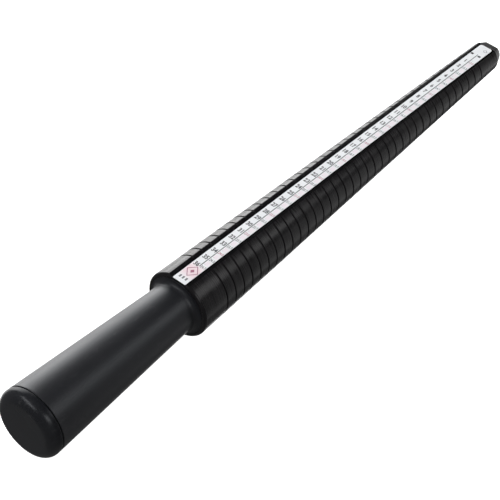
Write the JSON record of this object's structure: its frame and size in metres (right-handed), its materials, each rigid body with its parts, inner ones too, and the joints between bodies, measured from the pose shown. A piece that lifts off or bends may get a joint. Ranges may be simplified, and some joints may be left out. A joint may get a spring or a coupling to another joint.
{
  "type": "ring sizer stick",
  "caption": "Tapered hand-held ring measuring stick with size grooves, a printed scale along one flat, and a flared hollow handle closed by a push-in cap.",
  "frame": {"origin": "centre of the flat face of the butt cap, on the stick's axis", "axes": "+Y along the stick's axis from the butt to the small end, +Z out of the flat that carries the scale, +X to the right seen from the butt with the scale up"},
  "size_m": [0.026, 0.2668, 0.026],
  "materials": {
    "barrel_plastic": "matte black moulded plastic with faint turned lines",
    "handle_plastic": "smooth satin black moulded plastic",
    "cap_plastic": "smooth satin black moulded plastic",
    "label_film": "white printed film with a smooth satin face"
  },
  "bodies": {
    "stick": {"mandrel_barrel": "barrel_plastic", "handle_grip": "handle_plastic", "scale_label": "label_film"},
    "cap": {"butt_cap": "cap_plastic"}
  },
  "joints": [
    {"name": "cap_pull", "type": "slide", "parent": "stick", "child": "cap", "axis": [0, -1, 0], "range_m": [0, 0.025]}
  ]
}
